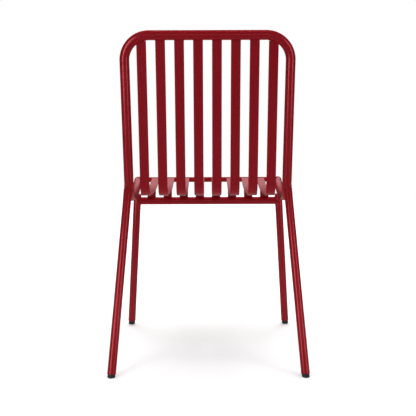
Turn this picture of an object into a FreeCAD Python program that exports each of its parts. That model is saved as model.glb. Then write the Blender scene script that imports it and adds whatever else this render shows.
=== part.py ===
import FreeCAD
import Part

import math
import os

import Sketcher

from FreeCAD import Placement, Rotation, Vector

# Metal bistro chair: a bent tube frame, eight flat slats that run from the back into the seat,
# four splayed legs and a cross bar under the seat.
# Millimetres, +Z up. The chair faces -Y and its back is at +Y. Left is the sitter's left, at +X.
# The origin is on the floor, at the centre of the bounding box.

doc = FreeCAD.newDocument("bistro_chair")

SIZES = [
    # back and side frame, all along the tube's centre line
    ("tube_od", 25),
    ("tube_wall", 1.5),
    ("back_top_height", 857),
    ("back_recline", 7.4),
    ("back_top_half_width", 212),
    ("back_corner_radius", 63),
    ("elbow_height", 441.5),
    ("elbow_half_width", 210),
    ("elbow_radius", 62),
    ("rail_run", 442),
    ("rail_front_height", 434),
    ("rail_front_half_width", 226.5),
    ("rail_dip_run", 225),
    ("rail_dip_depth", 31.18),
    ("rail_bow_radius", 1200),
    ("cap_thickness", 2),
    ("cap_plug_length", 12),
    ("cap_clearance", 0.15),
    # slats
    ("slat_count", 8),
    ("slat_edge_inset", 42),
    ("slat_width", 25),
    ("slat_thickness", 3),
    ("slat_bend_radius", 48),
    ("slat_corner_rise", 1.2),
    ("slat_dip_run", 222),
    ("slat_dip_depth", 25.56),
    ("slat_bow_radius", 1450),
    ("slat_front_drop", 0.7),
    # front rail
    ("front_rail_od", 16),
    ("front_rail_wall", 1.2),
    ("front_rail_setback", 11.5),
    ("front_rail_rise", 3.205),
    # cross bar, front legs and slat spacers
    ("bar_od", 22),
    ("bar_wall", 1.5),
    ("bar_run", 236),
    ("bar_drop", 42.1),
    ("bar_inset", 7.61),
    ("spacer_thickness", 4),
    ("front_leg_od", 22),
    ("front_foot_half_width", 239.8),
    ("front_foot_run", 289),
    # rear legs
    ("rear_leg_od", 22),
    ("rear_leg_top_rise", 20.5),
    ("rear_leg_top_outset", 3),
    ("rear_leg_top_offset", -1),
    ("rear_foot_half_width", 246.7),
    ("rear_foot_offset", 170),
    # feet
    ("leg_wall", 1.5),
    ("foot_od", 19.4),
    ("foot_stem_length", 22),
    ("foot_clearance", 0.15),
    ("front_foot_height", 12),
    ("rear_foot_height", 6.4),
]

sheet = doc.addObject("Spreadsheet::Sheet", "sizes")
for row, (name, value) in enumerate(SIZES, start=1):
    sheet.set("A%d" % row, name)
    sheet.set("B%d" % row, str(value))
    sheet.setAlias("B%d" % row, name)
doc.recompute()


def size(name):
    return float(sheet.get(name))


# Distances along Y are first measured from the elbow corner, forwards negative.
recline = math.radians(size("back_recline"))


def back_y(height):
    return (height - size("elbow_height")) * math.tan(recline)


rear_top_height = size("elbow_height") + size("rear_leg_top_rise")
rear_top_y = back_y(rear_top_height) + size("rear_leg_top_offset")
rear_lean = (size("rear_foot_offset") - rear_top_y) / rear_top_height
rearmost = size("rear_foot_offset") + size("foot_od") / 2 * math.hypot(1, rear_lean)

# The side rails run out from the elbows. Their plain line is the straight one to the front tips.
rail_tip = Vector(size("rail_front_half_width"), -size("rail_run"), size("rail_front_height"))
flare = (size("rail_front_half_width") - size("elbow_half_width")) / size("rail_run")
fall = (size("elbow_height") - size("rail_front_height")) / size("rail_run")


def rail_line(run):
    half_width = size("elbow_half_width") + flare * run
    return Vector(half_width, -run, size("elbow_height") - fall * run)


rail_dip = rail_line(size("rail_dip_run")) - Vector(0, 0, size("rail_dip_depth"))
tip_direction = (rail_tip - rail_dip).normalize()
cap_face = rail_tip + tip_direction * size("cap_thickness")
foremost = cap_face.y - size("tube_od") / 2 * math.sqrt(1 - tip_direction.y ** 2)

shift = Vector(0, -(rearmost + foremost) / 2, 0)


def at(x, y, z):
    return Vector(x, y, z) + shift


def mirrored(point):
    return Vector(-point.x, point.y, point.z)


def filleted_path(points, radii):
    """Straight runs through the points, joined by tangent arcs at the inner ones."""
    edges = []
    start = points[0]
    for before, corner, after, radius in zip(points, points[1:], points[2:], radii):
        a = (before - corner).normalize()
        b = (after - corner).normalize()
        half = a.getAngle(b) / 2
        reach = radius / math.tan(half)
        middle = (a + b).normalize() * (radius / math.sin(half) - radius)
        arc_start = corner + a * reach
        arc_end = corner + b * reach
        edges.append(Part.LineSegment(start, arc_start).toShape())
        edges.append(Part.Arc(arc_start, corner + middle, arc_end).toShape())
        start = arc_end
    edges.append(Part.LineSegment(start, points[-1]).toShape())
    return edges


def along(origin, direction):
    return Placement(origin, Rotation(Vector(0, 0, 1), direction))


def cylinder(name, start, end, radius_formula):
    item = doc.addObject("Part::Cylinder", name)
    item.setExpression("Radius", radius_formula)
    item.Height = (end - start).Length
    item.Placement = along(start, end - start)
    return item


def cut(name, base, tool):
    item = doc.addObject("Part::Cut", name)
    item.Base = base
    item.Tool = tool
    return item


def fuse(name, base, tool):
    item = doc.addObject("Part::Fuse", name)
    item.Base = base
    item.Tool = tool
    return item


pieces = []


def keep(item, label):
    item.Label = label
    pieces.append(item)
    return item


# Back and side frame: one path from the left rail's tip, up and over the back, to the right one's.
tip = rail_tip + shift
dip = rail_dip + shift
elbow = at(size("elbow_half_width"), 0, size("elbow_height"))
top = at(size("back_top_half_width"), back_y(size("back_top_height")), size("back_top_height"))
left_points = [tip, dip, elbow, top]
frame_points = left_points + [mirrored(point) for point in reversed(left_points)]
left_radii = [size("rail_bow_radius"), size("elbow_radius"), size("back_corner_radius")]
frame_radii = left_radii + left_radii[::-1]

frame_path = doc.addObject("Part::Feature", "frame_path")
frame_path.Shape = Part.Wire(filleted_path(frame_points, frame_radii))


def frame_sweep(name, radius_formula):
    ring = doc.addObject("Part::Circle", name + "_ring")
    ring.setExpression("Radius", radius_formula)
    ring.Placement = along(tip, dip - tip)
    sweep = doc.addObject("Part::Sweep", name)
    sweep.Sections = [ring]
    sweep.Spine = (frame_path, ["Edge%d" % (n + 1) for n in range(len(frame_path.Shape.Edges))])
    sweep.Solid = True
    sweep.Frenet = False
    return sweep


frame_outer = frame_sweep("frame_outer", "sizes.tube_od / 2")
frame_bore = frame_sweep("frame_bore", "sizes.tube_od / 2 - sizes.tube_wall")
frame = keep(cut("frame", frame_outer, frame_bore), "back_and_side_frame")

# Front rail: a thinner tube between the tips of the side rails, shaped to their round inner sides.
front_run = size("rail_run") - size("front_rail_setback")
front_end = rail_line(front_run) + Vector(0, 0, size("front_rail_rise"))
front_left = front_end + shift
front_outer = cylinder("front_rail_outer", mirrored(front_left), front_left, "sizes.front_rail_od / 2")
front_bore = cylinder(
    "front_rail_bore",
    mirrored(front_left),
    front_left,
    "sizes.front_rail_od / 2 - sizes.front_rail_wall",
)
front_tube = cut("front_rail_tube", front_outer, front_bore)
keep(cut("front_rail_cut", front_tube, frame_outer), "front_rail")

# Slats: a flat strip in side view, from the front rail's axis, through the seat's dip and the bend
# at the back's foot, up to the top rail's axis. The rails then cut its ends to their round sides.
slat_sink = size("slat_front_drop") + size("slat_thickness") / 2
slat_front = at(0, front_end.y, front_end.z + size("front_rail_od") / 2 - slat_sink)
slat_corner_height = size("elbow_height") + size("slat_corner_rise")
slat_corner = at(0, back_y(slat_corner_height), slat_corner_height)
slat_seat = slat_front - slat_corner
slat_dip = slat_corner + slat_seat * (-size("slat_dip_run") / slat_seat.y)
slat_dip -= Vector(0, 0, size("slat_dip_depth"))
slat_points = [
    slat_front,
    slat_dip,
    slat_corner,
    at(0, back_y(size("back_top_height")), size("back_top_height")),
]
slat_spread = size("elbow_half_width") - size("slat_edge_inset")
slat_pitch = 2 * slat_spread / (size("slat_count") - 1)


def slat_side(offset):
    """One side of the strip: the centre line moved square to itself, up and to the front."""
    runs = []
    for start, end in zip(slat_points, slat_points[1:]):
        direction = (end - start).normalize()
        normal = Vector(0, -direction.z, direction.y)
        runs.append((start + normal * offset, direction))
    corners = [runs[0][0]]
    for (p, d), (q, e) in zip(runs, runs[1:]):
        cross = d.y * e.z - d.z * e.y
        reach = ((q.y - p.y) * e.z - (q.z - p.z) * e.y) / cross
        corners.append(p + d * reach)
    last = slat_points[-1]
    direction = runs[-1][1]
    corners.append(last + Vector(0, -direction.z, direction.y) * offset)
    radii = [size("slat_bow_radius") - offset, size("slat_bend_radius") - offset]
    return filleted_path(corners, radii)


def flat(point):
    return Vector(point.y, point.z, 0)


def sketch_edges(sketch, edges):
    arcs = []
    for edge in edges:
        first = flat(edge.valueAt(edge.FirstParameter))
        last = flat(edge.valueAt(edge.LastParameter))
        if edge.Curve.TypeId == "Part::GeomCircle":
            half = flat(edge.valueAt((edge.FirstParameter + edge.LastParameter) / 2))
            arcs.append(sketch.addGeometry(Part.Arc(first, half, last)))
        else:
            sketch.addGeometry(Part.LineSegment(first, last))
    return arcs


upper = slat_side(size("slat_thickness") / 2)
lower = slat_side(-size("slat_thickness") / 2)
nose_end = Part.LineSegment(lower[0].Vertexes[0].Point, upper[0].Vertexes[0].Point)
top_end = Part.LineSegment(upper[-1].Vertexes[1].Point, lower[-1].Vertexes[1].Point)

slats = []
for n in range(int(size("slat_count"))):
    name = "slat_%d" % (n + 1)
    body = doc.addObject("PartDesign::Body", name + "_strip")
    side_plane = [f for f in body.Origin.OriginFeatures if f.Role == "YZ_Plane"][0]
    profile = body.newObject("Sketcher::SketchObject", name + "_profile")
    profile.AttachmentSupport = [(side_plane, "")]
    profile.MapMode = "FlatFace"
    upper_arcs = sketch_edges(profile, upper)
    sketch_edges(profile, [top_end.toShape()])
    lower_arcs = sketch_edges(profile, lower)
    sketch_edges(profile, [nose_end.toShape()])
    for arcs, half in ((upper_arcs, "-"), (lower_arcs, "+")):
        for arc, radius in zip(arcs, ("slat_bow_radius", "slat_bend_radius")):
            value = profile.Geometry[arc].Radius
            index = profile.addConstraint(Sketcher.Constraint("Radius", arc, value))
            formula = "sizes.%s %s sizes.slat_thickness / 2" % (radius, half)
            profile.setExpression("Constraints[%d]" % index, formula)
    pad = body.newObject("PartDesign::Pad", name + "_pad")
    pad.Profile = profile
    pad.setExpression("Length", "sizes.slat_width")
    pad.Midplane = True
    body.Tip = pad
    body.Placement = Placement(Vector(slat_spread - n * slat_pitch, 0, 0), Rotation())
    front_cut = cut(name + "_front_cut", body, front_outer)
    slats.append(keep(cut(name + "_cut", front_cut, frame_outer), name))

# Legs. Each front leg runs from the floor, past the end of the cross bar, to the side rail's axis.
# The cross bar hangs below and between the side rails' plain lines.
bar_end = rail_line(size("bar_run")) - Vector(size("bar_inset"), 0, size("bar_drop"))
bar_left = bar_end + shift
front_ground = at(size("front_foot_half_width"), -size("front_foot_run"), 0)
front_up = bar_left - front_ground
front_line = Part.LineSegment(front_ground, front_ground + front_up * 2).toShape()
front_top = front_line.distToShape(frame_path.Shape)[1][0][0]
rear_ground = at(size("rear_foot_half_width"), size("rear_foot_offset"), 0)
rear_top = at(size("elbow_half_width") + size("rear_leg_top_outset"), rear_top_y, rear_top_height)

# Everything below the floor, wide enough for all the feet.
floor_reach = 2 * max(rear_ground.x, rearmost - foremost)
floor = doc.addObject("Part::Box", "floor_block")
floor.Length = 2 * floor_reach
floor.Width = 2 * floor_reach
floor.Height = floor_reach
floor.Placement = Placement(Vector(-floor_reach, -floor_reach, -floor_reach), Rotation())

leg_outers = {}
for kind, ground, high in (("front", front_ground, front_top), ("rear", rear_ground, rear_top)):
    for hand in ("left", "right"):
        name = "%s_leg_%s" % (kind, hand)
        foot_at = ground if hand == "left" else mirrored(ground)
        top_at = high if hand == "left" else mirrored(high)
        up = (top_at - foot_at).normalize()
        tube_end = foot_at + up * (size(kind + "_foot_height") / up.z)
        outer_radius = "sizes.%s_leg_od / 2" % kind
        bore_radius = outer_radius + " - sizes.leg_wall"
        outer = cylinder(name + "_outer", tube_end, top_at, outer_radius)
        bore = cylinder(name + "_bore", tube_end, top_at, bore_radius)
        tube = cut(name + "_tube", outer, bore)
        keep(cut(name + "_cut", tube, frame_outer), name)
        leg_outers[name] = outer
        # Foot: a plastic plug, its stem in the leg's bore and its body cut level with the floor.
        foot_name = "foot_%s_%s" % (kind, hand)
        stem_top = tube_end + up * size("foot_stem_length")
        stem = cylinder(foot_name + "_stem", tube_end, stem_top, bore_radius + " - sizes.foot_clearance")
        block = cylinder(foot_name + "_block", foot_at - up * size("foot_od"), tube_end, "sizes.foot_od / 2")
        plug = fuse(foot_name + "_plug", stem, block)
        keep(cut(foot_name + "_cut", plug, floor), foot_name)

# Cross bar between the front legs.
bar_outer = cylinder("bar_outer", mirrored(bar_left), bar_left, "sizes.bar_od / 2")
bar_bore = cylinder("bar_bore", mirrored(bar_left), bar_left, "sizes.bar_od / 2 - sizes.bar_wall")
bar_tube = cut("bar_tube", bar_outer, bar_bore)
bar_left_cut = cut("bar_left_cut", bar_tube, leg_outers["front_leg_left"])
keep(cut("bar_right_cut", bar_left_cut, leg_outers["front_leg_right"]), "front_cross_bar")

# Slat spacers: upright plates that carry the slats on the cross bar. Each starts as tall as the
# slat's middle is above the bar's axis.
slat_line = Part.Wire(filleted_path(slat_points, [size("slat_bow_radius"), size("slat_bend_radius")]))
above_bar = Part.LineSegment(at(0, bar_end.y, 0), at(0, bar_end.y, size("back_top_height"))).toShape()
seat_height = slat_line.distToShape(above_bar)[1][0][0].z
for n, slat in enumerate(slats):
    name = "slat_spacer_%d" % (n + 1)
    middle = slat_spread - n * slat_pitch
    plate = doc.addObject("Part::Box", name + "_plate")
    plate.setExpression("Length", "sizes.slat_width")
    plate.setExpression("Width", "sizes.spacer_thickness")
    corner = at(middle - size("slat_width") / 2, bar_end.y - size("spacer_thickness") / 2, bar_end.z)
    plate.Placement = Placement(corner, Rotation())
    plate.Height = seat_height - bar_end.z
    bar_side = cut(name + "_bar_side", plate, bar_outer)
    keep(cut(name + "_cut", bar_side, slat), name)

# End caps: a disc on each side rail's open front end, with a plug in its bore.
for hand in ("left", "right"):
    name = "rail_cap_" + hand
    end_at = tip if hand == "left" else mirrored(tip)
    outwards = tip_direction if hand == "left" else mirrored(tip_direction)
    disc = cylinder(name + "_disc", end_at, end_at + outwards * size("cap_thickness"), "sizes.tube_od / 2")
    plug = cylinder(
        name + "_plug",
        end_at - outwards * size("cap_plug_length"),
        end_at,
        "sizes.tube_od / 2 - sizes.tube_wall - sizes.cap_clearance",
    )
    keep(fuse(name + "_whole", disc, plug), name)

doc.recompute()

for item in doc.Objects:
    if "Invalid" in item.State or "Error" in item.State:
        raise RuntimeError("%s did not compute: %s" % (item.Name, item.State))
for item in pieces:
    if item.Shape.isNull() or not item.Shape.isValid():
        raise RuntimeError("%s has no valid shape" % item.Label)

os.makedirs("parts", exist_ok=True)
for item in pieces:
    print(item.Label, len(item.Shape.Solids), round(item.Shape.Volume, 1))
    item.Shape.exportStep("parts/%s.step" % item.Label)

path_length = frame_path.Shape.Length
ring_area = math.pi * size("tube_wall") * (size("tube_od") - size("tube_wall"))
print("frame path", round(path_length, 1), "volume by length", round(path_length * ring_area, 1))
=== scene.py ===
import math

import bmesh
import bpy
from mathutils import Matrix, Vector
from mathutils.bvhtree import BVHTree


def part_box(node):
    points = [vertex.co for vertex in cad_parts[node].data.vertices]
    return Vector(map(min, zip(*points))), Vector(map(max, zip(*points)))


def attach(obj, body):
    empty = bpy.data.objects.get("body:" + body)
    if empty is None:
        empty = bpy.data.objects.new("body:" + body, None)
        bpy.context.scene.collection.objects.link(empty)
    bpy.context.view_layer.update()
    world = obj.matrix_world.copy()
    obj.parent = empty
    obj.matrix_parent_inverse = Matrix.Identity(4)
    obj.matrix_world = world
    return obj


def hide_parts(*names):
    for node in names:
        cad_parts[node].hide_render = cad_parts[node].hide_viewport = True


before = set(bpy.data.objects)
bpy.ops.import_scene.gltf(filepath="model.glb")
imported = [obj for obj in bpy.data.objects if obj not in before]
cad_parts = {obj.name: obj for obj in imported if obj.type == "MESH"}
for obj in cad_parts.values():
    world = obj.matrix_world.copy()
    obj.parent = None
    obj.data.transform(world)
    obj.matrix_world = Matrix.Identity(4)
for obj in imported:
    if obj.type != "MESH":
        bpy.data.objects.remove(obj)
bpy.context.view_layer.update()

bl_info = {
    "name": "Metal Bistro Chair",
    "version": (1, 0, 0),
    "blender": (4, 5, 0),
    "location": "3D View > Sidebar > Bistro Chair",
    "description": "Builds a red tube and slat bistro chair, piece by piece",
    "category": "Add Mesh",
}


def length(label, description, default, low=0.0005, high=1.0):
    return bpy.props.FloatProperty(
        name=label,
        description=description,
        default=default,
        min=low,
        max=high,
        unit="LENGTH",
        subtype="DISTANCE",
    )


def colour(label, description, default):
    return bpy.props.FloatVectorProperty(
        name=label,
        description=description,
        default=default,
        size=3,
        min=0.0,
        max=1.0,
        subtype="COLOR",
    )


class ChairSizes(bpy.types.PropertyGroup):
    """Tube, strip and plate sizes of the chair."""

    tube_radius: length("Frame tube radius", "Back and side frame tube, outside", 0.0125)
    corner_radius: length(
        "Back corner radius", "Bend at each top corner, at the tube's centre", 0.063
    )
    elbow_radius: length("Elbow radius", "Bend from the back into a side rail", 0.062)
    bow_radius: length("Rail bow radius", "Long shallow bow of each side rail", 1.2, high=5.0)
    slat_width: length("Slat width", "Width of each flat slat", 0.025)
    slat_thickness: length("Slat thickness", "Thickness of each flat slat", 0.003)
    slat_pitch: length("Slat pitch", "From the middle of one slat to the next", 0.048)
    slat_bend_radius: length("Slat bend radius", "Bend from the back into the seat", 0.048)
    slat_bow_radius: length("Slat bow radius", "Long shallow bow of the seat", 1.45, high=5.0)
    slat_edge: length("Slat edge rounding", "Rounded long edges of a slat", 0.0012)
    front_rail_radius: length("Front rail radius", "Front rail tube, outside", 0.008)
    bar_radius: length("Cross bar radius", "Cross bar tube, outside", 0.011)
    front_leg_radius: length("Front leg radius", "Front leg tube, outside", 0.011)
    rear_leg_radius: length("Rear leg radius", "Rear leg tube, outside", 0.011)
    leg_rim: length("Leg rim rounding", "Rounded rim at the bottom of each leg", 0.0008)
    foot_radius: length("Foot radius", "Plastic foot, outside", 0.0097)
    sole_round: length("Sole rounding", "Rounded rim of each foot on the floor", 0.0016)
    spacer_thickness: length("Spacer thickness", "Upright plates between bar and slats", 0.004)
    cap_dome: length("Cap dome", "How far a rail end cap stands out", 0.002)
    weld_radius: length("Weld size", "Radius of the painted weld beads", 0.0014)


class ChairFinish(bpy.types.PropertyGroup):
    """Colours and gloss of the chair."""

    red: colour("Red", "Powder coat colour", (0.29, 0.0065, 0.0135))
    red_deep: colour("Deep red", "Powder coat where it lies thicker", (0.265, 0.005, 0.0115))
    black: colour("Foot black", "Moulded plastic of the feet", (0.004, 0.004, 0.0045))
    gloss: bpy.props.FloatProperty(
        name="Paint roughness",
        description="Roughness of the powder coat",
        default=0.25,
        min=0.05,
        max=1.0,
        subtype="FACTOR",
    )


# Centre lines, in metres, from the frame's own sizes. The chair faces -Y, left is +X.
SHIFT_Y = 0.132648
RECLINE = math.tan(math.radians(7.4))
ELBOW_HEIGHT = 0.4415
BACK_TOP = 0.857
SLAT_CORNER_HEIGHT = 0.4427
FRONT_LEG_TOP = 0.416
REAR_LEG_TOP = 0.462


def at(x, y, z):
    return Vector((x, y + SHIFT_Y, z))


def back_y(height):
    return (height - ELBOW_HEIGHT) * RECLINE


def mirrored(point):
    return Vector((-point.x, point.y, point.z))


RAIL_TIP = at(0.2265, -0.442, 0.434)
RAIL_DIP = at(0.2183993, -0.225, 0.4065)
ELBOW = at(0.21, 0.0, ELBOW_HEIGHT)
TOP_CORNER = at(0.212, back_y(BACK_TOP), BACK_TOP)
FRONT_RAIL_END = at(0.2260707, -0.4305, 0.4374)
SLAT_FRONT = at(0.0, -0.4305, 0.4432)
SLAT_DIP = at(0.0, back_y(SLAT_CORNER_HEIGHT) - 0.222, 0.4174)
SLAT_CORNER = at(0.0, back_y(SLAT_CORNER_HEIGHT), SLAT_CORNER_HEIGHT)
SLAT_TOP = at(0.0, back_y(BACK_TOP), BACK_TOP)
BAR_END = at(0.2112, -0.236, 0.3954)
FRONT_GROUND = at(0.2398, -0.289, 0.0)
FRONT_TOP = FRONT_GROUND + (BAR_END - FRONT_GROUND) * (FRONT_LEG_TOP / BAR_END.z)
REAR_GROUND = at(0.2467, 0.17, 0.0)
REAR_TOP = at(0.213, back_y(REAR_LEG_TOP) - 0.001, REAR_LEG_TOP)
LEGS = {"front": (FRONT_GROUND, FRONT_TOP), "rear": (REAR_GROUND, REAR_TOP)}
FOOT_HEIGHTS = {"front": 0.012, "rear": 0.0064}
SLAT_COUNT = 8
SIDES = {"left": 1, "right": -1}

# How far short of its end point a piece stops inside a tube, as a share of the tube's radius
SLAT_IN_RAIL = 0.2
SLAT_IN_FRAME = 0.5
RAIL_IN_FRAME = 0.6
BAR_IN_LEG = 0.4
SPACER_IN_BAR = 0.7
# How far a spacer runs into its slat, as a share of the slat's thickness
SPACER_IN_SLAT = 0.3

# Sides of a round section
FRAME_SIDES = 40
LEG_SIDES = 36
FOOT_SIDES = 48

# Steps round a bend
BOW_STEPS = 20
ELBOW_STEPS = 20
CORNER_STEPS = 24
SLAT_BOW_STEPS = 28
SLAT_BEND_STEPS = 24

SHARP_ANGLE = math.radians(40)
SPACER_EDGE = 0.0006
# A leg's upper rim is this many times rounder than the one at its foot
UPPER_RIM = 2

# A rail end cap: a plug in the tube, then a thin seam, then the dome
CAP_PLUG_DEPTH = 0.004
CAP_PLUG_SHARE = 0.86
CAP_SEAM = 0.0002
CAP_ROUND_SHARE = 0.75

# Points round a weld: on a tube, and on the wide and narrow sides of a flat piece
ROUND_POINTS = 40
WIDE_POINTS = 12
NARROW_POINTS = 3
WELD_INSET = 0.0004
SMALL_WELD = 0.7
WELD_RIPPLE = 0.07
WELD_RIPPLE_TURN = 2.1

# How far back from a joint the search for its weld starts, and how far the search runs
RAIL_SEARCH = (0.04, 0.06)
BAR_SEARCH = (0.04, 0.06)
FRONT_LEG_SEARCH = (0.05, 0.08)
REAR_LEG_SEARCH = (0.09, 0.12)
SLAT_SEARCH = (0.045, 0.07)
SPACER_SEARCH = (0.02, 0.03)


def side_point(point, side):
    return point if SIDES[side] == 1 else mirrored(point)


def slat_middle(number, sizes):
    return ((SLAT_COUNT + 1) / 2 - number) * sizes.slat_pitch


def leg_line(kind, side):
    """A leg's ground point, its top point and the direction up between them."""
    ground, top = (side_point(point, side) for point in LEGS[kind])
    return ground, top, (top - ground).normalized()


def leg_end(kind, side):
    """The point where the foot takes over from the leg's tube."""
    ground, _, up = leg_line(kind, side)
    return ground + up * (FOOT_HEIGHTS[kind] / up.z)


# Mesh helpers


def facing(origin, direction):
    """A matrix that stands a flat shape at origin, square to direction."""
    return Matrix.Translation(origin) @ direction.to_track_quat("Z", "Y").to_matrix().to_4x4()


def circle(bm, origin, direction, radius, segments):
    made = bmesh.ops.create_circle(
        bm, cap_ends=True, segments=segments, radius=radius, matrix=facing(origin, direction)
    )
    return edges_between(made["verts"])


def edges_between(verts):
    inside = set(verts)
    edges = (e for v in verts for e in v.link_edges if set(e.verts) <= inside)
    return list(dict.fromkeys(edges))


def push(bm, ring, step):
    """Extrudes a ring of edges by step and returns the new ring."""
    made = bmesh.ops.extrude_edge_only(bm, edges=ring)["geom"]
    verts = [e for e in made if isinstance(e, bmesh.types.BMVert)]
    bmesh.ops.translate(bm, verts=verts, vec=step)
    return [e for e in made if isinstance(e, bmesh.types.BMEdge) and e.is_boundary]


def widen(bm, ring, centre, factor):
    """Extrudes a ring of edges outwards round centre and returns the new ring."""
    ring = push(bm, ring, Vector())
    verts = list(dict.fromkeys(v for e in ring for v in e.verts))
    bmesh.ops.scale(bm, vec=(factor,) * 3, space=Matrix.Translation(-centre), verts=verts)
    return ring


def turn(bm, ring, centre, axis, angle, steps):
    """Carries a ring of edges round an axis and returns the new ring."""
    made = bmesh.ops.spin(
        bm, geom=ring, cent=centre, axis=axis, angle=angle, steps=steps, use_duplicate=False
    )
    return [e for e in made["geom_last"] if isinstance(e, bmesh.types.BMEdge)]


def follow(bm, ring, points, bends):
    """Carries a ring of edges along straight runs and round the bends between them."""
    here = points[0]
    for before, corner, after, (radius, steps) in zip(points, points[1:], points[2:], bends):
        back = (before - corner).normalized()
        ahead = (after - corner).normalized()
        half = back.angle(ahead) / 2
        reach = radius / math.tan(half)
        centre = corner + (back + ahead).normalized() * (radius / math.sin(half))
        ring = push(bm, ring, corner + back * reach - here)
        axis = (-back).cross(ahead)
        ring = turn(bm, ring, centre, axis, math.pi - 2 * half, steps)
        here = corner + ahead * reach
    return push(bm, ring, points[-1] - here)


def close(bm, ring):
    return bmesh.ops.contextual_create(bm, geom=ring)["faces"]


def soften(bm, edges, offset, segments=3):
    """Rounds edges or a rim."""
    return bmesh.ops.bevel(
        bm,
        geom=edges,
        offset=offset,
        segments=segments,
        profile=0.5,
        affect="EDGES",
        material=-1,
        clamp_overlap=True,
    )


def level_tube(left, radius):
    """A closed straight tube from a point on the left to its mirror image."""
    across = mirrored(left) - left
    bm = bmesh.new()
    ring = circle(bm, left, across, radius, LEG_SIDES)
    close(bm, push(bm, ring, across))
    return bm


def strip_corners(across, up):
    """The corners of a flat section, from half its width and half its thickness."""
    return [across + up, up - across, -across - up, across - up]


def finish_piece(bm, name, slot, *nodes, flat_faces=False):
    """Turns a bmesh into a smooth shaded piece that stands for its CAD nodes."""
    bmesh.ops.recalc_face_normals(bm, faces=bm.faces[:])
    mesh = bpy.data.meshes.new(name)
    bm.to_mesh(mesh)
    bm.free()
    for polygon in mesh.polygons:
        polygon.use_smooth = True
    mesh.set_sharp_from_angle(angle=SHARP_ANGLE)
    mesh.materials.append(material_of(slot))
    piece = bpy.data.objects.new(name, mesh)
    bpy.context.scene.collection.objects.link(piece)
    if flat_faces:
        weighted = piece.modifiers.new("Even faces", "WEIGHTED_NORMAL")
        weighted.keep_sharp = True
    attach(piece, "root")
    if nodes:
        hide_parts(*nodes)
    return piece


# Materials


class Socket:
    """A shader socket with plain maths: mask * 2 or mask - 1 adds the Math nodes."""

    def __init__(self, sheet, source):
        self.sheet = sheet
        self.source = source

    def maths(self, operation, first, second):
        return self.sheet.add("ShaderNodeMath", {"operation": operation}, {0: first, 1: second})

    def __add__(self, other):
        return self.maths("ADD", self, other)

    def __sub__(self, other):
        return self.maths("SUBTRACT", self, other)

    def __mul__(self, other):
        return self.maths("MULTIPLY", self, other)


class Sheet:
    """The node tree of one material."""

    def __init__(self, name):
        self.material = bpy.data.materials.new(name)
        self.material.use_nodes = True
        self.tree = self.material.node_tree
        self.shader = self.tree.nodes["Principled BSDF"]
        self.place = self.add("ShaderNodeTexCoord", output="Object")

    def add(self, kind, settings=None, sockets=None, output=0):
        node = self.tree.nodes.new(kind)
        for key, value in (settings or {}).items():
            setattr(node, key, value)
        for key, value in (sockets or {}).items():
            self.feed(node.inputs[key], value)
        return Socket(self, node.outputs[output])

    def feed(self, target, value):
        if isinstance(value, Socket):
            self.tree.links.new(value.source, target)
        else:
            target.default_value = value

    def set(self, **values):
        """Feeds the shader's own sockets, with _ for each space in a name."""
        for name, value in values.items():
            self.feed(self.shader.inputs[name.replace("_", " ")], value)

    def mix_colours(self, factor, first, second):
        return self.add(
            "ShaderNodeMix",
            {"data_type": "RGBA"},
            {"Factor": factor, 6: (*first, 1.0), 7: (*second, 1.0)},
            output=2,
        )

    def noise(self, scale, detail, roughness=0.5):
        sockets = {"Vector": self.place, "Scale": scale, "Detail": detail, "Roughness": roughness}
        return self.add("ShaderNodeTexNoise", {}, sockets)

    def bump(self, height, strength, distance):
        sockets = {"Strength": strength, "Distance": distance, "Height": height}
        return self.add("ShaderNodeBump", {}, sockets, output="Normal")

    def glow_along_y(self, start, end, first, last):
        """Glows in the first colour up to start and in the last one beyond end."""
        y = self.add("ShaderNodeSeparateXYZ", {}, {0: self.place}, output="Y")
        sockets = {"Value": y, "From Min": start, "From Max": end}
        share = self.add("ShaderNodeMapRange", {}, sockets)
        self.set(Emission_Color=self.mix_colours(share, first, last), Emission_Strength=1.0)


def powder_coat(finish):
    """Satin powder coat: a fine orange peel, faint clouds of colour and gloss."""
    sheet = Sheet("red_powder_coat")
    clouds = sheet.noise(scale=9.0, detail=4.0)
    specks = sheet.noise(scale=420.0, detail=2.0)
    peel = sheet.noise(scale=700.0, detail=2.0, roughness=0.4)
    waves = sheet.noise(scale=55.0, detail=2.0)
    shade = clouds * 0.7 + specks * 0.3
    height = peel * 0.6 + waves * 0.4
    sheet.set(
        Base_Color=sheet.mix_colours(shade, finish.red_deep, finish.red),
        Roughness=(clouds - 0.5) * 0.08 + (specks - 0.5) * 0.05 + finish.gloss,
        Normal=sheet.bump(height, strength=0.12, distance=0.0004),
        IOR=1.45,
        Metallic=0.35,
    )
    return sheet.material


def foot_plastic(finish):
    """Matte moulded plastic with a fine grain and lighter clouds of dust."""
    sheet = Sheet("foot_plastic")
    grain = sheet.noise(scale=900.0, detail=3.0)
    dust = sheet.noise(scale=60.0, detail=4.0)
    lighter = tuple(part * 2.2 for part in finish.black)
    sheet.set(
        Base_Color=sheet.mix_colours(dust, finish.black, lighter),
        Roughness=grain * 0.2 + 0.35,
        Normal=sheet.bump(grain, strength=0.2, distance=0.0002),
    )
    return sheet.material


MATERIALS = {
    "red_paint": ("red_powder_coat", powder_coat),
    "black_plastic": ("foot_plastic", foot_plastic),
}


def material_of(slot):
    name, maker = MATERIALS[slot]
    return bpy.data.materials.get(name) or maker(bpy.context.scene.bistro_finish)


# Pieces


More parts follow.
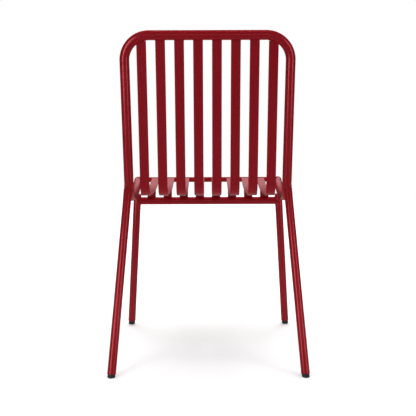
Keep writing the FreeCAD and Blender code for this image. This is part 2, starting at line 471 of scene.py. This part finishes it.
class BISTRO_OT_frame_tube(bpy.types.Operator):
    """Bends the long tube that makes the back's outline and both side rails"""

    bl_idname = "bistro.frame_tube"
    bl_label = "Back and side frame"
    bl_options = {"REGISTER", "UNDO"}

    def execute(self, context):
        sizes = context.scene.bistro_sizes
        half = [RAIL_TIP, RAIL_DIP, ELBOW, TOP_CORNER]
        points = half + [mirrored(p) for p in reversed(half)]
        bends = [
            (sizes.bow_radius, BOW_STEPS),
            (sizes.elbow_radius, ELBOW_STEPS),
            (sizes.corner_radius, CORNER_STEPS),
        ]
        bm = bmesh.new()
        ring = circle(bm, RAIL_TIP, RAIL_DIP - RAIL_TIP, sizes.tube_radius, FRAME_SIDES)
        close(bm, follow(bm, ring, points, bends + bends[::-1]))
        finish_piece(bm, "frame_tube", "red_paint", "back_and_side_frame")
        return {"FINISHED"}


class BISTRO_OT_slats(bpy.types.Operator):
    """Rolls the eight flat slats from the front rail through the seat to the top"""

    bl_idname = "bistro.slats"
    bl_label = "Slats"
    bl_options = {"REGISTER", "UNDO"}

    def execute(self, context):
        sizes = context.scene.bistro_sizes
        run_in = (SLAT_DIP - SLAT_FRONT).normalized()
        run_out = (SLAT_TOP - SLAT_CORNER).normalized()
        start = SLAT_FRONT + run_in * (sizes.front_rail_radius * SLAT_IN_RAIL)
        across = Vector((sizes.slat_width / 2, 0, 0))
        up = Vector((0, -run_in.z, run_in.y)) * (sizes.slat_thickness / 2)
        bends = [
            (sizes.slat_bow_radius, SLAT_BOW_STEPS),
            (sizes.slat_bend_radius, SLAT_BEND_STEPS),
        ]
        for number in range(1, SLAT_COUNT + 1):
            aside = Vector((slat_middle(number, sizes), 0, 0))
            # outer slats meet the corner bend lower than the middle ones meet the straight top
            drop = sizes.tube_radius * SLAT_IN_FRAME + self.bend_drop(aside.x, sizes)
            end = SLAT_TOP - run_out * drop
            points = [start + aside, SLAT_DIP + aside, SLAT_CORNER + aside, end + aside]
            bm = bmesh.new()
            corners = [points[0] + corner for corner in strip_corners(across, up)]
            outline = bm.faces.new([bm.verts.new(corner) for corner in corners])
            bmesh.ops.bevel(
                bm,
                geom=outline.verts[:],
                offset=sizes.slat_edge,
                segments=4,
                profile=0.5,
                affect="VERTICES",
                material=-1,
            )
            close(bm, follow(bm, bm.edges[:], points, bends))
            name = "slat_%d" % number
            finish_piece(bm, name + "_strip", "red_paint", name, flat_faces=True)
        return {"FINISHED"}

    def bend_drop(self, x, sizes):
        """How far the frame's corner bend lies below its top at x, at the slat's outer edge."""
        outer = abs(x) + sizes.slat_width / 2
        start = TOP_CORNER.x - sizes.corner_radius
        over = max(0.0, outer - start)
        return sizes.corner_radius - math.sqrt(sizes.corner_radius ** 2 - over ** 2)


class BISTRO_OT_front_rail(bpy.types.Operator):
    """Sets the thinner tube between the tips of the side rails"""

    bl_idname = "bistro.front_rail"
    bl_label = "Front rail"
    bl_options = {"REGISTER", "UNDO"}

    def execute(self, context):
        sizes = context.scene.bistro_sizes
        left = FRONT_RAIL_END - Vector((sizes.tube_radius * RAIL_IN_FRAME, 0, 0))
        bm = level_tube(left, sizes.front_rail_radius)
        finish_piece(bm, "front_rail_tube", "red_paint", "front_rail")
        return {"FINISHED"}


class BISTRO_OT_cross_bar(bpy.types.Operator):
    """Sets the tube under the seat between the front legs"""

    bl_idname = "bistro.cross_bar"
    bl_label = "Cross bar"
    bl_options = {"REGISTER", "UNDO"}

    def execute(self, context):
        sizes = context.scene.bistro_sizes
        left = BAR_END - Vector((sizes.front_leg_radius * BAR_IN_LEG, 0, 0))
        bm = level_tube(left, sizes.bar_radius)
        finish_piece(bm, "cross_bar_tube", "red_paint", "front_cross_bar")
        return {"FINISHED"}


class BISTRO_OT_legs(bpy.types.Operator):
    """Sets the four splayed tube legs, each with a softened rim above its foot"""

    bl_idname = "bistro.legs"
    bl_label = "Legs"
    bl_options = {"REGISTER", "UNDO"}

    def execute(self, context):
        sizes = context.scene.bistro_sizes
        for kind, radius in (("front", sizes.front_leg_radius), ("rear", sizes.rear_leg_radius)):
            for side in SIDES:
                bottom, top = leg_end(kind, side), leg_line(kind, side)[1]
                bm = bmesh.new()
                ring = circle(bm, bottom, top - bottom, radius, LEG_SIDES)
                end = close(bm, push(bm, ring, top - bottom))
                soften(bm, ring, sizes.leg_rim)
                soften(bm, end[0].edges[:], sizes.leg_rim * UPPER_RIM)
                name = "%s_leg_%s" % (kind, side)
                finish_piece(bm, name + "_tube", "red_paint", name)
        return {"FINISHED"}


class BISTRO_OT_feet(bpy.types.Operator):
    """Moulds the four black feet: a plug in each leg, cut level with the floor"""

    bl_idname = "bistro.feet"
    bl_label = "Feet"
    bl_options = {"REGISTER", "UNDO"}

    def execute(self, context):
        sizes = context.scene.bistro_sizes
        for kind in FOOT_HEIGHTS:
            for side in SIDES:
                ground, _, up = leg_line(kind, side)
                start = leg_end(kind, side) + up * sizes.foot_radius
                bm = bmesh.new()
                ring = circle(bm, start, -up, sizes.foot_radius, FOOT_SIDES)
                close(bm, push(bm, ring, (ground - start) * 2))
                below_floor = bmesh.ops.bisect_plane(
                    bm,
                    geom=bm.verts[:] + bm.edges[:] + bm.faces[:],
                    plane_co=(0, 0, 0),
                    plane_no=(0, 0, -1),
                    clear_outer=True,
                )
                cut = below_floor["geom_cut"]
                sole_rim = [e for e in cut if isinstance(e, bmesh.types.BMEdge)]
                close(bm, sole_rim)
                soften(bm, sole_rim, sizes.sole_round, 4)
                name = "foot_%s_%s" % (kind, side)
                finish_piece(bm, name + "_plug", "black_plastic", name)
        return {"FINISHED"}


class BISTRO_OT_spacers(bpy.types.Operator):
    """Stands the upright plates between the cross bar and the slats"""

    bl_idname = "bistro.spacers"
    bl_label = "Slat spacers"
    bl_options = {"REGISTER", "UNDO"}

    def execute(self, context):
        sizes = context.scene.bistro_sizes
        across = sizes.slat_width / 2
        deep = sizes.spacer_thickness / 2
        corners = [(-across, -deep), (across, -deep), (across, deep), (-across, deep)]
        foot = BAR_END.z + sizes.bar_radius * SPACER_IN_BAR
        for number in range(1, SLAT_COUNT + 1):
            name = "slat_spacer_%d" % number
            middle = slat_middle(number, sizes)
            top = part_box(name)[1].z + sizes.slat_thickness * SPACER_IN_SLAT
            bm = bmesh.new()
            bm.faces.new([bm.verts.new((middle + x, BAR_END.y + y, foot)) for x, y in corners])
            close(bm, push(bm, bm.edges[:], Vector((0, 0, top - foot))))
            upright = [e for e in bm.edges if abs(e.verts[0].co.z - e.verts[1].co.z) > deep]
            soften(bm, upright, SPACER_EDGE, 2)
            finish_piece(bm, name + "_plate", "red_paint", name, flat_faces=True)
        return {"FINISHED"}


class BISTRO_OT_rail_caps(bpy.types.Operator):
    """Closes the front ends of the side rails with low domed caps"""

    bl_idname = "bistro.rail_caps"
    bl_label = "Rail end caps"
    bl_options = {"REGISTER", "UNDO"}

    def execute(self, context):
        sizes = context.scene.bistro_sizes
        plug_radius = sizes.tube_radius * CAP_PLUG_SHARE
        for side in SIDES:
            tip = side_point(RAIL_TIP, side)
            out = (tip - side_point(RAIL_DIP, side)).normalized()
            bm = bmesh.new()
            ring = circle(bm, tip - out * CAP_PLUG_DEPTH, out, plug_radius, FRAME_SIDES)
            ring = push(bm, ring, out * (CAP_PLUG_DEPTH + CAP_SEAM))
            ring = widen(bm, ring, tip + out * CAP_SEAM, 1 / CAP_PLUG_SHARE)
            face = close(bm, push(bm, ring, out * (sizes.cap_dome - CAP_SEAM)))
            soften(bm, face[0].edges[:], sizes.cap_dome * CAP_ROUND_SHARE, 5)
            finish_piece(bm, "rail_cap_%s_disc" % side, "red_paint", "rail_cap_" + side)
        return {"FINISHED"}


def tree_of(name):
    """The surface of a finished piece, to find where a joint runs."""
    bm = bmesh.new()
    bm.from_mesh(bpy.data.objects[name].data)
    tree = BVHTree.FromBMesh(bm)
    bm.free()
    return tree


def joint_loop(start_points, direction, tree, reach):
    """Where lines from the points along direction first meet the other piece."""
    hits = [tree.ray_cast(point, direction, reach)[0] for point in start_points]
    return [hit for hit in hits if hit is not None]


def round_section(origin, direction, radius):
    turned = facing(origin, direction)
    angles = [2 * math.pi * step / ROUND_POINTS for step in range(ROUND_POINTS)]
    return [turned @ Vector((math.cos(a) * radius, math.sin(a) * radius, 0)) for a in angles]


def flat_section(origin, across, up):
    """Points round a flat strip's section."""
    corners = strip_corners(across, up)
    points = []
    for here, there in zip(corners, corners[1:] + corners[:1]):
        steps = WIDE_POINTS if (there - here).length > across.length else NARROW_POINTS
        points += [origin + here.lerp(there, step / steps) for step in range(steps)]
    return points


def bead(bm, loop, radius, closed=True):
    """Adds a slightly rippled weld bead that follows a loop of points."""
    line = bpy.data.curves.new("bead", "CURVE")
    line.dimensions = "3D"
    line.bevel_depth = radius
    line.bevel_resolution = 2
    line.use_fill_caps = True
    spline = line.splines.new("POLY")
    spline.points.add(len(loop) - 1)
    for index, (point, place) in enumerate(zip(spline.points, loop)):
        point.co = (*place, 1.0)
        point.radius = 1 + WELD_RIPPLE * math.sin(index * WELD_RIPPLE_TURN)
    spline.use_cyclic_u = closed
    holder = bpy.data.objects.new("bead", line)
    mesh = bpy.data.meshes.new_from_object(holder)
    bm.from_mesh(mesh)
    bpy.data.objects.remove(holder)
    bpy.data.meshes.remove(mesh)
    bpy.data.curves.remove(line)


def tube_joint(joint, along, radius, tree, back, reach):
    """Where a round tube, followed from back before the joint, meets another piece."""
    return joint_loop(round_section(joint - along * back, along, radius), along, tree, reach)


class BISTRO_OT_welds(bpy.types.Operator):
    """Runs the painted weld beads round the joints of tubes, slats and plates"""

    bl_idname = "bistro.welds"
    bl_label = "Weld beads"
    bl_options = {"REGISTER", "UNDO"}

    def execute(self, context):
        sizes = context.scene.bistro_sizes
        self.tube_welds(sizes)
        self.slat_welds(sizes)
        self.spacer_welds(sizes)
        return {"FINISHED"}

    def tube_welds(self, sizes):
        rail, bar = sizes.front_rail_radius, sizes.bar_radius
        front_leg, rear_leg = sizes.front_leg_radius, sizes.rear_leg_radius
        full, small = sizes.weld_radius, sizes.weld_radius * SMALL_WELD
        tree = tree_of("frame_tube")
        bm = bmesh.new()
        for side in SIDES:
            out = Vector((SIDES[side], 0, 0))
            rail_end, bar_end = side_point(FRONT_RAIL_END, side), side_point(BAR_END, side)
            bead(bm, tube_joint(rail_end, out, rail, tree, *RAIL_SEARCH), full)
            _, top, up = leg_line("rear", side)
            bead(bm, tube_joint(top, up, rear_leg, tree, *REAR_LEG_SEARCH), small)
            _, top, up = leg_line("front", side)
            loop = tube_joint(top, up, front_leg, tree, *FRONT_LEG_SEARCH)
            bead(bm, loop, full, closed=False)
            leg_tree = tree_of("front_leg_%s_tube" % side)
            loop = tube_joint(bar_end, out, bar, leg_tree, *BAR_SEARCH)
            bead(bm, loop, full, closed=len(loop) == ROUND_POINTS)
        finish_piece(bm, "tube_weld_beads", "red_paint")

    def slat_welds(self, sizes):
        frame_tree = tree_of("frame_tube")
        rail_tree = tree_of("front_rail_tube")
        across = Vector((sizes.slat_width / 2 - WELD_INSET, 0, 0))
        back, reach = SLAT_SEARCH
        bm = bmesh.new()
        for number in range(1, SLAT_COUNT + 1):
            aside = Vector((slat_middle(number, sizes), 0, 0))
            for before, end, tree in (
                (SLAT_CORNER, SLAT_TOP, frame_tree),
                (SLAT_DIP, SLAT_FRONT, rail_tree),
            ):
                along = (end - before).normalized()
                thick = Vector((0, -along.z, along.y)) * (sizes.slat_thickness / 2)
                start = end - along * back + aside
                loop = joint_loop(flat_section(start, across, thick), along, tree, reach)
                bead(bm, loop, sizes.weld_radius * SMALL_WELD)
        finish_piece(bm, "slat_weld_beads", "red_paint")

    def spacer_welds(self, sizes):
        bar_tree = tree_of("cross_bar_tube")
        across = Vector((sizes.slat_width / 2 - WELD_INSET, 0, 0))
        deep = Vector((0, sizes.spacer_thickness / 2, 0))
        rise, reach = SPACER_SEARCH
        bm = bmesh.new()
        for number in range(1, SLAT_COUNT + 1):
            middle = Vector((slat_middle(number, sizes), BAR_END.y, BAR_END.z + rise))
            section = flat_section(middle, across, deep)
            slat_tree = tree_of("slat_%d_strip" % number)
            for upwards, tree in ((-1, bar_tree), (1, slat_tree)):
                loop = joint_loop(section, Vector((0, 0, upwards)), tree, reach)
                bead(bm, loop, sizes.weld_radius * SMALL_WELD)
        finish_piece(bm, "spacer_weld_beads", "red_paint")


# Stage


def grey(value):
    return (value, value, value)


STAGE_RADIUS = 2.4

# The floor's own glow meets the white background at its far edge.
GLOW_START, GLOW_END = -1.0, -3.0
FLOOR_GLOW, FLOOR_GLOW_FAR = grey(0.1), grey(0.55)

# The bounce card, from under the seat to behind the chair
CARD_START, CARD_END = -0.15, 0.6
CARD_BRIGHT, CARD_DIM = grey(0.34), grey(0.04)

# The world's strength as the camera, matte light and mirrored light see it
SKY_SEEN = 1.0
SKY_FILL = 0.4
SKY_MIRRORED = 0.03

# Each light's name, place, target, width, height and power
LIGHTS = (
    ("backdrop_light", (0, -4.0, 2.1), (0, 0, 0.6), 6.0, 1.5, 21),
    ("left_light", (1.75, 2.25, 1.0), (0, 0, 0.5), 0.9, 2.2, 32),
    ("right_light", (-2.0, 1.75, 1.0), (0, 0, 0.5), 0.8, 2.2, 18),
    ("camera_light", (0, 3.6, 1.15), (0, 0, 0.6), 1.4, 0.5, 3.0),
    ("top_light", (0, -0.8, 3.2), (0, 0, 0.4), 3.0, 2.5, 170),
)

# The photo's camera, in millimetres, metres and radians
SENSOR_WIDTH = 36.0
LENS = 65.88
CAMERA_PLACE = (0.0, 2.1501, 0.7067)
CAMERA_PITCH = 0.147
CAMERA_ROLL = 0.0032


def disc(name, material, segments, centre):
    """Lays a flat disc of the stage."""
    bm = bmesh.new()
    bmesh.ops.create_circle(
        bm,
        cap_ends=True,
        segments=segments,
        radius=STAGE_RADIUS,
        matrix=Matrix.Translation(centre),
    )
    mesh = bpy.data.meshes.new(name)
    bm.to_mesh(mesh)
    bm.free()
    mesh.materials.append(material)
    laid = bpy.data.objects.new(name, mesh)
    bpy.context.scene.collection.objects.link(laid)
    return laid


def soft_box(name, place, target, width, height, power):
    light = bpy.data.lights.new(name, "AREA")
    light.shape = "RECTANGLE"
    light.size = width
    light.size_y = height
    light.energy = power
    lamp = bpy.data.objects.new(name, light)
    lamp.location = place
    lamp.rotation_euler = (Vector(target) - Vector(place)).to_track_quat("-Z", "Y").to_euler()
    lamp.visible_camera = False
    bpy.context.scene.collection.objects.link(lamp)
    return lamp


class BISTRO_OT_stage(bpy.types.Operator):
    """Lays the pale floor and sets the soft studio light and the camera"""

    bl_idname = "bistro.stage"
    bl_label = "Stage, light and camera"
    bl_options = {"REGISTER", "UNDO"}

    def execute(self, context):
        self.floor()
        self.bounce_card()
        self.world(context.scene)
        self.lights()
        self.camera(context.scene)
        context.scene.view_settings.view_transform = "Standard"
        return {"FINISHED"}

    def floor(self):
        sheet = Sheet("studio_floor")
        clouds = sheet.noise(scale=1.5, detail=2.0)
        sheet.set(
            Base_Color=sheet.mix_colours(clouds, grey(0.7), grey(0.73)),
            Roughness=0.7,
            Specular_IOR_Level=0.2,
        )
        sheet.glow_along_y(GLOW_START, GLOW_END, FLOOR_GLOW, FLOOR_GLOW_FAR)
        floor = disc("studio_floor", sheet.material, 128, (0, -0.9, 0))
        floor.visible_glossy = False

    def bounce_card(self):
        """What the tubes mirror of the floor: bright under the seat, dim behind the chair."""
        sheet = Sheet("bounce_card")
        sheet.set(Base_Color=(*grey(0.0), 1.0))
        sheet.glow_along_y(CARD_START, CARD_END, CARD_BRIGHT, CARD_DIM)
        card = disc("bounce_card", sheet.material, 64, (0, -0.4, -0.002))
        card.visible_camera = False
        card.visible_diffuse = False
        card.visible_shadow = False

    def world(self, scene):
        world = bpy.data.worlds.new("studio")
        world.use_nodes = True
        tree = world.node_tree
        path = tree.nodes.new("ShaderNodeLightPath")
        shown, fill, dark = (self.sky(tree, s) for s in (SKY_SEEN, SKY_FILL, SKY_MIRRORED))
        unseen = self.blend(tree, path.outputs["Is Diffuse Ray"], dark, fill)
        final = self.blend(tree, path.outputs["Is Camera Ray"], unseen, shown)
        tree.links.new(final.outputs[0], tree.nodes["World Output"].inputs["Surface"])
        scene.world = world

    def sky(self, tree, strength):
        node = tree.nodes.new("ShaderNodeBackground")
        node.inputs["Color"].default_value = (*grey(1.0), 1.0)
        node.inputs["Strength"].default_value = strength
        return node

    def blend(self, tree, factor, first, second):
        node = tree.nodes.new("ShaderNodeMixShader")
        tree.links.new(factor, node.inputs[0])
        tree.links.new(first.outputs[0], node.inputs[1])
        tree.links.new(second.outputs[0], node.inputs[2])
        return node

    def lights(self):
        """The light behind the camera only gives highlights, and the top light gives none."""
        lamps = {light[0]: soft_box(*light) for light in LIGHTS}
        lamps["camera_light"].visible_diffuse = False
        lamps["top_light"].visible_glossy = False

    def camera(self, scene):
        lens = bpy.data.cameras.new("photo_camera")
        lens.sensor_width = SENSOR_WIDTH
        lens.lens = LENS
        camera = bpy.data.objects.new("photo_camera", lens)
        camera.location = CAMERA_PLACE
        towards = Vector((0, -math.cos(CAMERA_PITCH), -math.sin(CAMERA_PITCH)))
        level = towards.to_track_quat("-Z", "Y").to_matrix()
        camera.rotation_euler = (level @ Matrix.Rotation(-CAMERA_ROLL, 3, "Z")).to_euler()
        scene.collection.objects.link(camera)
        scene.camera = camera


class BISTRO_PT_panel(bpy.types.Panel):
    """Lists the pieces of the chair"""

    bl_idname = "BISTRO_PT_panel"
    bl_label = "Bistro Chair"
    bl_space_type = "VIEW_3D"
    bl_region_type = "UI"
    bl_category = "Bistro Chair"

    def draw(self, context):
        layout = self.layout
        for operator in OPERATORS:
            layout.operator(operator.bl_idname)
        for group in (context.scene.bistro_sizes, context.scene.bistro_finish):
            box = layout.box()
            for key in group.__annotations__:
                box.prop(group, key)


OPERATORS = (
    BISTRO_OT_frame_tube,
    BISTRO_OT_slats,
    BISTRO_OT_front_rail,
    BISTRO_OT_cross_bar,
    BISTRO_OT_legs,
    BISTRO_OT_feet,
    BISTRO_OT_spacers,
    BISTRO_OT_rail_caps,
    BISTRO_OT_welds,
    BISTRO_OT_stage,
)

CLASSES = (ChairSizes, ChairFinish, *OPERATORS, BISTRO_PT_panel)


def register():
    for cls in CLASSES:
        bpy.utils.register_class(cls)
    bpy.types.Scene.bistro_sizes = bpy.props.PointerProperty(type=ChairSizes)
    bpy.types.Scene.bistro_finish = bpy.props.PointerProperty(type=ChairFinish)


def unregister():
    del bpy.types.Scene.bistro_finish
    del bpy.types.Scene.bistro_sizes
    for cls in reversed(CLASSES):
        bpy.utils.unregister_class(cls)


def main():
    register()
    for operator in OPERATORS:
        family, action = operator.bl_idname.split(".")
        getattr(getattr(bpy.ops, family), action)()


if __name__ == "__main__":
    main()
